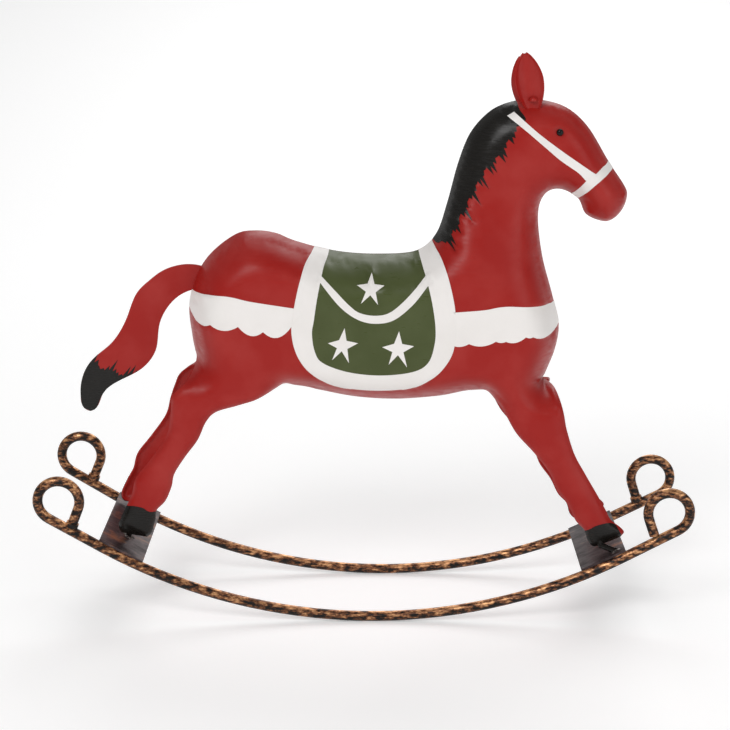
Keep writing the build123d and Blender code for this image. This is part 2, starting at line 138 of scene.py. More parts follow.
MANE_BACK: Points = [
    (74.5, 264.0), (64.0, 260.0), (52.0, 249.0), (43.0, 232.0), (37.0, 212.0), (30.0, 192.0),
]
MANE_FRONT: Points = [(74.0, 258.0), (75.0, 254.5), (77.8, 250.4), (75.2, 247.6)]
MANE_EDGE: Points = [
    (73.0, 247.0), (67.5, 238.5), (63.0, 232.0), (57.5, 226.0), (54.2, 219.5), (50.6, 212.5),
    (47.2, 205.5), (43.6, 198.5), (41.0, 193.0), (35.0, 189.0),
]
HIND_HOOF_TOP: Points = [
    (-127.0, 56.4), (-120.3, 57.2), (-116.5, 57.8), (-111.8, 57.0), (-108.5, 54.7), (-101.0, 53.6),
]
HIND_HOOF_BELOW: Points = [(-101.0, 36.0), (-127.0, 36.0)]
FRONT_HOOF_TOP: Points = [
    (106.0, 41.6), (111.2, 43.9), (116.3, 47.5), (122.2, 48.6), (126.1, 47.4), (127.9, 45.0),
    (129.7, 41.2), (129.4, 36.0),
]
FRONT_HOOF_BELOW: Points = [(129.0, 31.0), (106.0, 31.0)]
TAIL_TIP_EDGE: Points = [
    (-139.5, 127.0), (-134.5, 122.6), (-130.0, 120.6), (-125.4, 119.2), (-121.5, 118.6), (-117.0, 118.2),
]
TAIL_TOP: Points = [
    (-129.1, 135.5), (-136.9, 129.0), (-141.5, 123.4), (-144.2, 116.4), (-144.9, 109.6),
    (-144.0, 103.2), (-140.2, 100.7),
]
TAIL_UNDER: Points = [
    (-140.2, 100.7), (-137.1, 102.4), (-133.6, 109.6), (-128.3, 114.8), (-113.8, 122.7), (-108.6, 127.9),
]


class Side(Enum):
    """The two halves of the horse, by the sign of their Y."""

    RIGHT = -1
    LEFT = 1

    @property
    def label(self) -> str:
        """Name used in piece names."""
        return self.name.lower()


# ---- small helpers ------------------------------------------------------------
def linear(code: str) -> tuple[float, float, float, float]:
    """Turn an sRGB hex colour into linear red, green, blue and alpha.

    Args:
        code: Six hex digits.

    Returns:
        Linear channels with alpha 1.
    """
    parts = [int(code[place:place + 2], 16) / 255 for place in (0, 2, 4)]
    channels = [part / 12.92 if part <= 0.04045 else ((part + 0.055) / 1.055) ** 2.4 for part in parts]
    return channels[0], channels[1], channels[2], 1.0


def add_node(
    tree: bpy.types.NodeTree, kind: str, settings: dict | None = None, links: dict | None = None
) -> bpy.types.Node:
    """Add a node with its settings and its incoming links.

    Args:
        tree: Node tree that gets the node.
        kind: Blender's class name of the node.
        settings: Socket names or numbers, or property names, with values. "stops" fills a colour ramp.
        links: Socket names or numbers with the output sockets that feed them.

    Returns:
        The new node.
    """
    node = tree.nodes.new(kind)
    for name, value in (settings or {}).items():
        if name == "stops":
            ramp = node.color_ramp.elements
            while len(ramp) < len(value):
                ramp.new(0.5)
            for element, (place, colour) in zip(ramp, value):
                element.position = place
                element.color = colour
        elif isinstance(name, int) or name in node.inputs:
            node.inputs[name].default_value = value
        else:
            setattr(node, name, value)
    for name, source in (links or {}).items():
        tree.links.new(source, node.inputs[name])
    return node


def per_metre(size_mm: float) -> float:
    """Texture scale whose features are about size_mm wide."""
    return 1.0 / (size_mm * MM)


def smooth_step(t: np.ndarray) -> np.ndarray:
    """Rise from 0 to 1 with level ends: t squared times (3 - 2 t), t clipped to 0..1."""
    t = np.clip(t, 0.0, 1.0)
    return t * t * (3.0 - 2.0 * t)


def curve_through(points: Points, step: float = 0.9) -> np.ndarray:
    """Catmull-Rom curve through points.

    Between points b and c, with a before and d after, the curve is the cubic with the slopes
    (c - a) / 2 and (d - b) / 2 at its ends. A missing neighbour is the end point mirrored.

    Args:
        points: The (X, Z) points.
        step: Largest distance between two samples.

    Returns:
        Samples, one row each, both ends included.
    """
    given = np.array(points, float)
    held = np.vstack([2 * given[0] - given[1], given, 2 * given[-1] - given[-2]])
    lengths = np.hypot(*np.diff(given, axis=0).T)
    counts = np.maximum(1, np.ceil(lengths / step)).astype(int)
    span = np.repeat(np.arange(len(counts)), counts)
    starts = np.repeat(np.cumsum(counts) - counts, counts)
    t = ((np.arange(counts.sum()) - starts) / counts[span])[:, None]
    a, b, c, d = held[span], held[span + 1], held[span + 2], held[span + 3]
    cubic = 2 * b + (c - a) * t + (2 * a - 5 * b + 4 * c - d) * t**2 + (3 * b - a - 3 * c + d) * t**3
    return np.vstack([cubic / 2, given[-1]])


def inside(points: np.ndarray, loop: np.ndarray) -> np.ndarray:
    """Even-odd test: a point is inside when a ray to its right crosses the loop an odd number of times.

    Args:
        points: Points to test, one row each.
        loop: Closed loop, without its first point repeated.

    Returns:
        True for each point inside.
    """
    after = np.roll(loop, -1, axis=0)
    found = np.zeros(len(points), bool)
    for first in range(0, len(points), INSIDE_CHUNK):
        some = slice(first, first + INSIDE_CHUNK)
        x, z = points[some, :1], points[some, 1:]
        spans = (loop[:, 1] > z) != (after[:, 1] > z)
        rise = np.where(after[:, 1] == loop[:, 1], 1.0, after[:, 1] - loop[:, 1])
        cross = loop[:, 0] + (z - loop[:, 1]) * (after[:, 0] - loop[:, 0]) / rise
        found[some] = (spans & (x < cross)).sum(axis=1) % 2 == 1
    return found


def to_loop(points: np.ndarray, loop: np.ndarray, values: np.ndarray) -> tuple[np.ndarray, np.ndarray]:
    """Distance from each point to a closed loop, and the loop's value at the nearest place.

    Args:
        points: Points, one row each.
        loop: Closed loop, without its first point repeated.
        values: One value for each loop point, blended along its sides.

    Returns:
        The distances and the values.
    """
    side = np.roll(loop, -1, axis=0) - loop
    gain = np.roll(values, -1) - values
    size = np.maximum((side**2).sum(axis=1), 1e-9)
    distance = np.empty(len(points))
    value = np.empty(len(points))
    for first in range(0, len(points), DISTANCE_CHUNK):
        some = slice(first, first + DISTANCE_CHUNK)
        reach = points[some, None, :] - loop
        t = np.clip((reach * side).sum(axis=2) / size, 0.0, 1.0)
        gap = np.hypot(*np.moveaxis(reach - t[:, :, None] * side, 2, 0))
        best = gap.argmin(axis=1)
        rows = np.arange(len(best))
        distance[some] = gap[rows, best]
        value[some] = values[best] + gain[best] * t[rows, best]
    return distance, value


def vertex_normals(places: np.ndarray, faces: np.ndarray) -> np.ndarray:
    """Unit normal of each vertex, from the cross products of its triangles added up.

    Args:
        places: Vertices, one row each.
        faces: Triangles as rows of vertex numbers.

    Returns:
        One normal for each vertex.
    """
    a, b, c = (places[faces[:, corner]] for corner in range(3))
    flat = np.cross(b - a, c - a)
    total = np.zeros_like(places)
    for corner in range(3):
        np.add.at(total, faces[:, corner], flat)
    return total / np.maximum(np.linalg.norm(total, axis=1, keepdims=True), 1e-12)


def triangulated(
    loops: list[np.ndarray], seeds: np.ndarray
) -> tuple[np.ndarray, np.ndarray, np.ndarray, np.ndarray]:
    """Delaunay triangles that keep every loop as a row of edges, all turned anticlockwise.

    Args:
        loops: Closed loops of (X, Z) points, without their first points repeated.
        seeds: Loose points, one row each.

    Returns:
        The points, the triangles, the middle of each triangle and twice its area.
    """
    pairs, first = [], 0
    for loop in loops:
        ring = np.arange(len(loop)) + first
        pairs += list(zip(ring.tolist(), np.roll(ring, -1).tolist()))
        first += len(loop)
    flat = [Vector(point) for point in np.vstack([*loops, seeds]).tolist()]
    found, _, tris, *_ = delaunay_2d_cdt(flat, pairs, [], 0, 1e-4)
    at, tris = np.array([tuple(point) for point in found]), np.array(tris)
    a, b, c = (at[tris[:, corner]] for corner in range(3))
    size = (b[:, 0] - a[:, 0]) * (c[:, 1] - a[:, 1]) - (b[:, 1] - a[:, 1]) * (c[:, 0] - a[:, 0])
    return at, np.where((size < 0)[:, None], tris[:, ::-1], tris), (a + b + c) / 3, abs(size)


def dress(name: str, finish: bpy.types.Material, smooth: bool) -> None:
    """Give a CAD piece its finish.

    Args:
        name: The CAD node.
        finish: Material.
        smooth: Whether its faces shade smoothly.
    """
    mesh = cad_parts[name].data
    mesh.materials.clear()
    mesh.materials.append(finish)
    if smooth:
        mesh.polygons.foreach_set("use_smooth", np.ones(len(mesh.polygons), bool))


def make_piece(
    name: str, places: np.ndarray, faces: list | np.ndarray, finish: bpy.types.Material,
    sharp: np.ndarray | None = None,
) -> bpy.types.Object:
    """Make a smooth-shaded mesh object that moves with the horse.

    Args:
        name: Piece name.
        places: Vertices in millimetres, one row each.
        faces: Triangles or quads as rows of vertex numbers.
        finish: Material.
        sharp: Pairs of vertex numbers whose edges stay sharp.

    Returns:
        The new object.
    """
    mesh = bpy.data.meshes.new(name)
    mesh.from_pydata((places * MM).tolist(), [], [list(map(int, face)) for face in faces])
    mesh.polygons.foreach_set("use_smooth", np.ones(len(mesh.polygons), bool))
    if sharp is not None:
        ends = np.empty(len(mesh.edges) * 2, int)
        mesh.edges.foreach_get("vertices", ends)
        ends = np.sort(ends.reshape(-1, 2), axis=1)
        wanted = np.sort(sharp, axis=1)
        keys = ends[:, 0] * len(places) + ends[:, 1]
        mark = np.isin(keys, wanted[:, 0] * len(places) + wanted[:, 1])
        mesh.attributes.new("sharp_edge", "BOOLEAN", "EDGE").data.foreach_set("value", mark)
    mesh.materials.append(finish)
    mesh.update()
    piece = bpy.data.objects.new(name, mesh)
    bpy.context.scene.collection.objects.link(piece)
    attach(piece, "root")
    LOG.info("%s: %d faces", name, len(faces))
    return piece


def slab(
    name: str, upper: np.ndarray, lower: np.ndarray, faces: np.ndarray,
    finish: bpy.types.Material,
) -> bpy.types.Object:
    """Close the space between two copies of a triangulated sheet with a wall along its rim.

    Args:
        name: Piece name.
        upper: Outer vertices in millimetres.
        lower: Inner vertices, in the same order.
        faces: Triangles of the outer sheet, anticlockwise from outside.
        finish: Material.

    Returns:
        The new object.
    """
    used, renamed = np.unique(faces, return_inverse=True)
    faces = renamed.reshape(faces.shape)
    upper, lower = upper[used], lower[used]
    count = len(used)
    sides = np.vstack([faces[:, [0, 1]], faces[:, [1, 2]], faces[:, [2, 0]]])
    keys = sides[:, 0] * count + sides[:, 1]
    rim = sides[~np.isin(keys, sides[:, 1] * count + sides[:, 0])]
    walls = np.column_stack([rim[:, 1], rim[:, 0], rim[:, 0] + count, rim[:, 1] + count])
    every = faces.tolist() + (faces[:, ::-1] + count).tolist() + walls.tolist()
    sharp = np.vstack([rim, rim + count])
    return make_piece(name, np.vstack([upper, lower]), every, finish, sharp)


def grid_faces(rows: int, columns: int, closed: bool) -> np.ndarray:
    """Quads of a grid of vertices, numbered along its rows.

    Args:
        rows: Vertices from the first row to the last.
        columns: Vertices in each row.
        closed: Whether the last column joins the first.

    Returns:
        Rows of four vertex numbers.
    """
    row, column = np.meshgrid(np.arange(rows - 1), np.arange(columns - (not closed)), indexing="ij")
    here = row * columns + column
    beside = row * columns + (column + 1) % columns
    return np.stack([here, beside, beside + columns, here + columns], axis=-1).reshape(-1, 4)


# ---- finishes -------------------------------------------------------------------
def empty_material(name: str) -> tuple[bpy.types.Material, bpy.types.NodeTree]:
    """Make a material with no nodes.

    Args:
        name: Material name.

    Returns:
        The material and its node tree.
    """
    made = bpy.data.materials.new(name)
    made.use_nodes = True
    made.node_tree.nodes.clear()
    return made, made.node_tree


@dataclass(frozen=True)
class Enamel:
    """Air-drying alkyd enamel brushed and sprayed on sheet steel.

    It gives a soft satin gloss, faint brush streaks, slow changes of tone and small chips that show
    the primer.
    """

    name: str
    body: str
    light: str
    chip: str
    roughness: float = 0.36
    tone_mm: float = 22.0
    streak_mm: float = 1.1
    speck_mm: float = 2.6
    specks: float = 0.70
    streak_depth: float = 0.00004
    sheen_spots: float = 0.5

    def material(self) -> bpy.types.Material:
        """Build the node material.

        Returns:
            The material.
        """
        made, tree = empty_material(self.name)
        place = add_node(tree, "ShaderNodeTexCoord")
        tone = add_node(
            tree, "ShaderNodeTexNoise", {"Scale": per_metre(self.tone_mm), "Detail": 4.0},
            {"Vector": place.outputs["Object"]},
        )
        drawn = add_node(
            tree, "ShaderNodeMapping", {"Scale": (1.0, 1.0, 5.0), "Rotation": (0.0, 0.5, 0.0)},
            {"Vector": place.outputs["Object"]},
        )
        streaks = add_node(
            tree, "ShaderNodeTexNoise", {"Scale": per_metre(self.streak_mm * 5), "Detail": 6.0},
            {"Vector": drawn.outputs["Vector"]},
        )
        amount = add_node(
            tree, "ShaderNodeMapRange",
            {"From Min": 0.42, "From Max": 0.80, "To Min": 0.0, "To Max": self.sheen_spots},
            {"Value": tone.outputs["Fac"]},
        )
        toned = add_node(
            tree, "ShaderNodeMix", {"data_type": "RGBA", 6: linear(self.body), 7: linear(self.light)},
            {0: amount.outputs["Result"]},
        )
        spots = add_node(
            tree, "ShaderNodeTexNoise",
            {"Scale": per_metre(self.speck_mm), "Detail": 5.0, "Roughness": 0.7},
            {"Vector": place.outputs["Object"]},
        )
        chipped = add_node(
            tree, "ShaderNodeMapRange",
            {"From Min": self.specks, "From Max": self.specks + 0.03},
            {"Value": spots.outputs["Fac"]},
        )
        colour = add_node(
            tree, "ShaderNodeMix", {"data_type": "RGBA", 7: linear(self.chip)},
            {0: chipped.outputs["Result"], 6: toned.outputs[2]},
        )
        dull = add_node(
            tree, "ShaderNodeMapRange",
            {
                "From Min": 0.3, "From Max": 0.7,
                "To Min": self.roughness - 0.08, "To Max": self.roughness + 0.1,
            },
            {"Value": streaks.outputs["Fac"]},
        )
        height = add_node(
            tree, "ShaderNodeBump", {"Strength": 0.5, "Distance": self.streak_depth},
            {"Height": streaks.outputs["Fac"]},
        )
        shader = add_node(
            tree, "ShaderNodeBsdfPrincipled", {"IOR": 1.45, "Specular IOR Level": 0.26},
            {
                "Base Color": colour.outputs[2], "Roughness": dull.outputs["Result"],
                "Normal": height.outputs["Normal"],
            },
        )
        add_node(tree, "ShaderNodeOutputMaterial", None, {"Surface": shader.outputs["BSDF"]})
        return made


@dataclass(frozen=True)
class RubbedMetal:
    """Steel with black lacquer and copper bronzing rubbed over it.

    The eye sees near-black hollows and bright copper patches. The patches follow noise; on top of that,
    faces that look up are painted lighter and faces that look down darker, a painted top light with painted
    shade below.
    """

    name: str
    dark: str
    middle: str
    bright: str
    patch_mm: float
    stretch: tuple[float, float, float]
    cover: tuple[float, float, float]
    top_light: float
    roughness: float
    metallic: float

    def material(self) -> bpy.types.Material:
        """Build the node material.

        Returns:
            The material.
        """
        made, tree = empty_material(self.name)
        place = add_node(tree, "ShaderNodeTexCoord")
        drawn = add_node(
            tree, "ShaderNodeMapping", {"Scale": self.stretch}, {"Vector": place.outputs["Object"]},
        )
        patches = add_node(
            tree, "ShaderNodeTexNoise",
            {"Scale": per_metre(self.patch_mm), "Detail": 9.0, "Roughness": 0.68},
            {"Vector": drawn.outputs["Vector"]},
        )
        facing = add_node(tree, "ShaderNodeNewGeometry")
        upwards = add_node(tree, "ShaderNodeSeparateXYZ", None, {"Vector": facing.outputs["Normal"]})
        # Painted top light: the upward part of the normal, times top_light, lifts faces that look up towards
        # bright copper and pushes faces that look down towards black, as painted shade.
        lit = add_node(
            tree, "ShaderNodeMath", {"operation": "MULTIPLY_ADD", 1: self.top_light},
            {0: upwards.outputs["Z"], 2: patches.outputs["Fac"]},
        )
        colour = add_node(
            tree, "ShaderNodeValToRGB",
            {"stops": list(zip(self.cover, map(linear, (self.dark, self.middle, self.bright))))},
            {"Fac": lit.outputs["Value"]},
        )
        dull = add_node(
            tree, "ShaderNodeMapRange",
            {
                "From Min": 0.35, "From Max": 0.65,
                "To Min": self.roughness + 0.12, "To Max": self.roughness - 0.08,
            },
            {"Value": patches.outputs["Fac"]},
        )
        height = add_node(
            tree, "ShaderNodeBump", {"Strength": 0.6, "Distance": 0.00025},
            {"Height": lit.outputs["Value"]},
        )
        shader = add_node(
            tree, "ShaderNodeBsdfPrincipled", {"Metallic": self.metallic},
            {
                "Base Color": colour.outputs["Color"], "Roughness": dull.outputs["Result"],
                "Normal": height.outputs["Normal"],
            },
        )
        add_node(tree, "ShaderNodeOutputMaterial", None, {"Surface": shader.outputs["BSDF"]})
        return made


@dataclass
class Finishes:
    """Every finish of the horse, built once."""

    red: bpy.types.Material = field(init=False)
    white: bpy.types.Material = field(init=False)
    green: bpy.types.Material = field(init=False)
    black: bpy.types.Material = field(init=False)
    copper: bpy.types.Material = field(init=False)
    plate: bpy.types.Material = field(init=False)
    weld: bpy.types.Material = field(init=False)
    bead: bpy.types.Material = field(init=False)

    def __post_init__(self) -> None:
        """Build the node materials."""
        self.red = Enamel(
            "red_enamel", "9a1b16", "a83530", "c9a89c", specks=0.77, sheen_spots=0.8,
        ).material()
        self.white = Enamel(
            "white_enamel", "ebe7e4", "dedad5", "8f8a84", roughness=0.42, specks=0.735,
        ).material()
        self.green = Enamel(
            "green_enamel", "464e2b", "5a6240", "9da088", roughness=0.34, specks=0.79,
        ).material()
        self.black = Enamel(
            "black_enamel", "191715", "262422", "6a6662", roughness=0.26, specks=0.80, streak_depth=0.00010,
        ).material()
        self.copper = RubbedMetal(
            "copper_bronzed_rod", "15110f", "7a4c30", "e8b07c", patch_mm=3.4, stretch=(0.6, 1.5, 1.5),
            cover=(0.46, 0.54, 0.66), top_light=0.07, roughness=0.36, metallic=0.55,
        ).material()
        self.plate = RubbedMetal(
            "copper_bronzed_plate", "241314", "4a3d3e", "a06c4c", patch_mm=9.0, stretch=(0.35, 1.0, 1.0),
            cover=(0.40, 0.56, 0.74), top_light=0.02, roughness=0.36, metallic=0.45,
        ).material()
        self.bead = Enamel("bead_lacquer", "0e0d0c", "161514", "161514", roughness=0.14).material()
        self.weld = RubbedMetal(
            "weld_spatter", "1c1a19", "45403d", "b4ada8", patch_mm=2.0, stretch=(1.0, 1.0, 1.0),
            cover=(0.40, 0.54, 0.68), top_light=0.05, roughness=0.45, metallic=0.7,
        ).material()


# ---- painted halves -----------------------------------------------------------
def scallops(cusps: Points, sags: tuple[float, ...]) -> np.ndarray:
    """Edge of hanging lobes: a parabola of the given sag between each two cusps.

    Args:
        cusps: Points between the lobes.
        sags: How far each lobe's middle lies above the line between its cusps.

    Returns:
        The edge, eight samples to a lobe.
    """
    ends = np.array(cusps, float)
    t = np.linspace(0.0, 1.0, 9)[:-1, None]
    lobes = [
        a + (b - a) * t + np.array([0.0, 4.0 * sag]) * t * (1.0 - t)
        for a, b, sag in zip(ends[:-1], ends[1:], sags)
    ]
    return np.vstack([*lobes, ends[-1:]])


def star(centre: tuple[float, float], tips: Points, waist: float = 0.36) -> np.ndarray:
    """Hand-painted star: its tips, and between each two of them a point drawn in towards the centre.

    Args:
        centre: Middle of the star.
        tips: Its five tips in order.
        waist: Distance of the inner points from the centre, over the mean distance of the tips.

    Returns:
        The closed outline.
    """
    middle = np.array(centre)
    outer = np.array(tips)
    between = (outer + np.roll(outer, -1, axis=0)) / 2 - middle
    size = np.linalg.norm(outer - middle, axis=1).mean() * waist
    inner = middle + between / np.linalg.norm(between, axis=1, keepdims=True) * size
    return np.stack([outer, inner], axis=1).reshape(-1, 2)


def feathered(
    edge: Points, heading: tuple[float, float], longest: float, step: float, seed: int, lock_mm: float,
) -> np.ndarray:
    """Edge drawn with a dry brush, whose strokes run out along the heading and gather in locks.

    Every second sample runs out by a random length, times 0.55 plus 0.45 of a sine along the edge;
    the samples between run out by a quarter of that.

    Args:
        edge: Edge before the strokes.
        heading: Direction of the strokes.
        longest: Longest stroke.
        step: Half the width of a stroke.
        seed: Seed of the random lengths.
        lock_mm: Distance between two locks.

    Returns:
        The feathered edge.
    """
    line = curve_through(edge, step)
    dice = np.random.default_rng(seed)
    lock = 0.55 + 0.45 * np.sin(np.arange(len(line)) * step / lock_mm * 2 * math.pi + dice.uniform(0, 6))
    lengths = dice.uniform(0.35, 1.0, len(line)) * lock * longest
    lengths[::2] *= 0.25
    lengths[-1] = 0.0
    return line + np.array(heading) / np.hypot(*heading) * lengths[:, None]


@dataclass
class PaintedArea:
    """One painted area on a half: its edge, its finish and how thick the paint stands."""

    name: str
    loops: list[np.ndarray]
    holes: list[np.ndarray]
    colour: str
    thickness: float = 0.14


@dataclass
class BodyHalf:
    """One stamped sheet half of the horse with its paint, ear and eye."""

    side: Side
    finishes: Finishes
    sheet: float = 0.9
    seam_gap: float = 0.12
    body_depth: float = 26.0
    head_depth: float = 14.0
    body_shoulder: float = 21.0
    head_shoulder: float = 14.5
    leg_shoulder: float = 8.5
    roundness: float = 3.0
    leg_rim: float = 22.0
    notch_ramp: float = 17.0
    groin_ramp: float = 34.0
    setback: float = 4.5
    hind_lift: float = 2.2
    leg_top: float = 120.0
    leg_run: float = 20.0
    lift_top: float = 75.0
    lift_run: float = 28.0
    neck_level: float = 215.0
    neck_lean: float = 0.5
    neck_from: float = 60.0
    neck_run: float = 55.0
    pitch: float = 1.15
    ring_depths: tuple[float, ...] = (0.45, 1.05, 1.9)
    grid_depth: float = 2.7
    ring_slack: float = 0.93
    line_clearance: float = 0.38
    smallest: float = 1e-5
    passes: int = 26
    eye_at: tuple[float, float] = (94.3, 244.2)
    eye_size: float = 3.4
    dimple_radius: float = 4.2
    dimple_depth: float = 0.55
    emboss: float = 0.35

    def moved(self, points: Points) -> Points:
        """Leg points of this side: the left legs stand back, and the hind one a little higher.

        The shift grows smoothly from nothing at leg_top, and the lift from nothing at lift_top. The
        points that a leg shares with the body stay where they are.

        Args:
            points: Points of the right leg.

        Returns:
            Points of this side's leg.
        """
        if self.side is Side.RIGHT:
            return points
        at = np.array(points, float)
        back = self.setback * smooth_step((self.leg_top - at[:, 1]) / self.leg_run)
        up = self.hind_lift * smooth_step((self.lift_top - at[:, 1]) / self.lift_run) * (at[:, 0] < 0)
        new = np.column_stack([at[:, 0] - back, at[:, 1] + up])
        fixed = [point in (TOPLINE[0], TOPLINE[-1], BELLY[0], BELLY[-1]) for point in points]
        new[fixed] = at[fixed]
        return [tuple(point) for point in new.tolist()]

    def leg(self, down: Points, up: Points, ramps: tuple[float, float]) -> np.ndarray:
        """Outline of a leg with its rim height: a smooth rise over each ramp at the leg's two ends.

        Args:
            down: Points from the body to the hoof.
            up: Points from the hoof back to the body.
            ramps: Lengths of the first and the last ramp.

        Returns:
            Rows of X, Z and rim height.
        """
        line = np.vstack([curve_through(self.moved(down)), curve_through(self.moved(up))])
        run = np.r_[0.0, np.cumsum(np.hypot(*np.diff(line, axis=0).T))]
        height = self.leg_rim * smooth_step(run / ramps[0]) * smooth_step((run[-1] - run) / ramps[1])
        return np.column_stack([line, height])

    def outline(self) -> np.ndarray:
        """Closed outline of the half.

        Returns:
            Rows of X, Z and the height of the rim above the seam plane.
        """
        level = [
            np.column_stack([line, np.zeros(len(line))]) for line in map(curve_through, (TOPLINE, BELLY))
        ]
        front = self.leg(FRONT_LEG_FRONT, FRONT_LEG_BACK, (self.notch_ramp, self.groin_ramp))
        hind = self.leg(HIND_LEG_FRONT, HIND_LEG_BACK, (self.groin_ramp, self.notch_ramp))
        return np.vstack([part[:-1] for part in (level[0], front, level[1], hind)])

    def height(self, at: np.ndarray, rim: np.ndarray) -> tuple[np.ndarray, np.ndarray]:
        """Height of the stamped surface above the seam plane.

        From the rim it rises to full depth over a shoulder: rim + (depth - rim) times
        (1 - (1 - distance / shoulder) ** roundness). Depth and shoulder shrink from the body to the
        neck and head along a line that leans forward, and the shoulder is narrow on the open legs.

        Args:
            at: Points as (X, Z).
            rim: Outline with rim heights.

        Returns:
            The heights and the distances to the outline.
        """
        distance, edge = to_loop(at, rim[:, :2], rim[:, 2])
        up_the_neck = at[:, 1] + self.neck_lean * (at[:, 0] - self.neck_from)
        body = smooth_step((self.neck_level - up_the_neck) / self.neck_run)
        depth = self.head_depth + (self.body_depth - self.head_depth) * body
        shoulder = self.head_shoulder + (self.body_shoulder - self.head_shoulder) * body
        shoulder += (self.leg_shoulder - shoulder) * edge / self.leg_rim
        rise = 1.0 - (1.0 - np.clip(distance / shoulder, 0.0, 1.0)) ** self.roundness
        return edge + (depth - edge) * rise, distance

    def areas(self) -> list[PaintedArea]:
        """The painted areas of this half.

        Returns:
            The areas in the order in which they are built.
        """
        saddle = np.vstack([curve_through(SADDLE_EDGE, PAINT_STEP), [(24.0, 200.0), (-20.0, 200.0)]])
        cloth = np.vstack([curve_through(SADDLE_FIELD, PAINT_STEP), [(25.0, 198.0), (-17.0, 198.0)]])
        stripe = np.vstack([
            curve_through(FLAP_UPPER, PAINT_STEP), curve_through(FLAP_LOWER, PAINT_STEP)[::-1],
        ])
        stars = [star(*shape) for shape in STARS]
        rear, front = (
            np.vstack([curve_through(top, BAND_STEP), scallops(cusps, sags)[::-1]])
            for top, cusps, sags in (
                (REAR_BAND_TOP, REAR_BAND_CUSPS, REAR_BAND_SAGS),
                (FRONT_BAND_TOP, FRONT_BAND_CUSPS, FRONT_BAND_SAGS),
            )
        )
        mane = np.vstack([
            curve_through(MANE_BACK, 2.0)[::-1], curve_through(MANE_FRONT, PAINT_STEP),
            feathered(MANE_EDGE, (0.55, -0.83), longest=9.0, step=1.15, seed=5, lock_mm=9.0),
        ])
        strap = curve_through(CHEEK_STRAP, PAINT_STEP)
        nose = curve_through(NOSE_BAND, PAINT_STEP)
        hind, fore = (
            np.vstack([curve_through(self.moved(top), PAINT_STEP), self.moved(below)])
            for top, below in ((HIND_HOOF_TOP, HIND_HOOF_BELOW), (FRONT_HOOF_TOP, FRONT_HOOF_BELOW))
        )
        return [
            PaintedArea("saddle_field", [cloth], [stripe, *stars], "green", 0.10),
            PaintedArea("saddle_border", [saddle], [cloth], "white", 0.20),
            PaintedArea("saddle_flap_edge", [stripe], [], "white", 0.18),
            PaintedArea("saddle_stars", stars, [], "white", 0.18),
            PaintedArea("rear_band", [rear], [saddle], "white"),
            PaintedArea("chest_band", [front], [saddle], "white"),
            PaintedArea("mane", [mane], [strap], "black", 0.16),
            PaintedArea("cheek_strap", [strap], [nose], "white", 0.18),
            PaintedArea("nose_band", [nose], [], "white", 0.18),
            PaintedArea("hind_hoof", [hind], [], "black"),
            PaintedArea("fore_hoof", [fore], [], "black"),
        ]

    def seed_points(self, rim: np.ndarray, lines: list[np.ndarray]) -> np.ndarray:
        """Points to triangulate: rings just inside the outline, then a square grid over the rest.

        Args:
            rim: Outline with rim heights.
            lines: Paint edges, which the points keep clear of.

        Returns:
            Loose (X, Z) points.
        """
        loop = rim[:, :2]
        along = np.roll(loop, -1, axis=0) - np.roll(loop, 1, axis=0)
        inward = np.column_stack([along[:, 1], -along[:, 0]]) / np.hypot(*along.T)[:, None]
        rings = [(loop + inward * depth, depth) for depth in self.ring_depths]
        low, high = loop.min(axis=0), loop.max(axis=0)
        across, up = np.meshgrid(
            np.arange(low[0], high[0], self.pitch), np.arange(low[1], high[1], self.pitch)
        )
        grid = np.column_stack([across.ravel(), up.ravel()])
        seeds = []
        for points, depth in [*rings, (grid, self.grid_depth)]:
            points = points[inside(points, loop)]
            gap, _ = to_loop(points, loop, rim[:, 2])
            seeds.append(points[gap > self.ring_slack * depth])
        seeds = np.vstack(seeds)
        for line in lines:
            gap, _ = to_loop(seeds, line, np.zeros(len(line)))
            seeds = seeds[gap > self.line_clearance * self.pitch]
        return seeds

    def sheet_mesh(self, rim: np.ndarray, areas: list[PaintedArea]) -> tuple[np.ndarray, np.ndarray]:
        """Triangulate the half so that every paint edge is a row of mesh edges.

        Args:
            rim: Outline with rim heights.
            areas: Painted areas.

        Returns:
            Flat (X, Z) points and triangles that lie inside the outline.
        """
        lines = [loop for area in areas for loop in area.loops]
        seeds = self.seed_points(rim, lines)
        at, tris, middle, size = triangulated([rim[:, :2], *lines], seeds)
        return at, tris[inside(middle, rim[:, :2]) & (size > self.smallest)]

    def relaxed(self, height: np.ndarray, distance: np.ndarray, tris: np.ndarray) -> np.ndarray:
        """Even out the ridge that stands along the middle of narrow parts, away from the rim.

        In each pass a vertex moves by a share of the way to the mean height of its neighbours. The
        share rises from nothing near the rim to 0.6.

        Args:
            height: Height of each vertex.
            distance: Its distance to the outline.
            tris: Triangles.

        Returns:
            The evened heights.
        """
        sides = np.vstack([tris[:, [0, 1]], tris[:, [1, 2]], tris[:, [2, 0]]])
        pairs = np.unique(np.sort(sides, axis=1), axis=0)
        count = np.zeros(len(height))
        np.add.at(count, pairs.ravel(), 1.0)
        share = 0.6 * smooth_step((distance - 1.6) / 4.0)
        for _ in range(self.passes):
            total = np.zeros(len(height))
            np.add.at(total, pairs[:, 0], height[pairs[:, 1]])
            np.add.at(total, pairs[:, 1], height[pairs[:, 0]])
            height = height + share * (total / np.maximum(count, 1.0) - height)
        return height

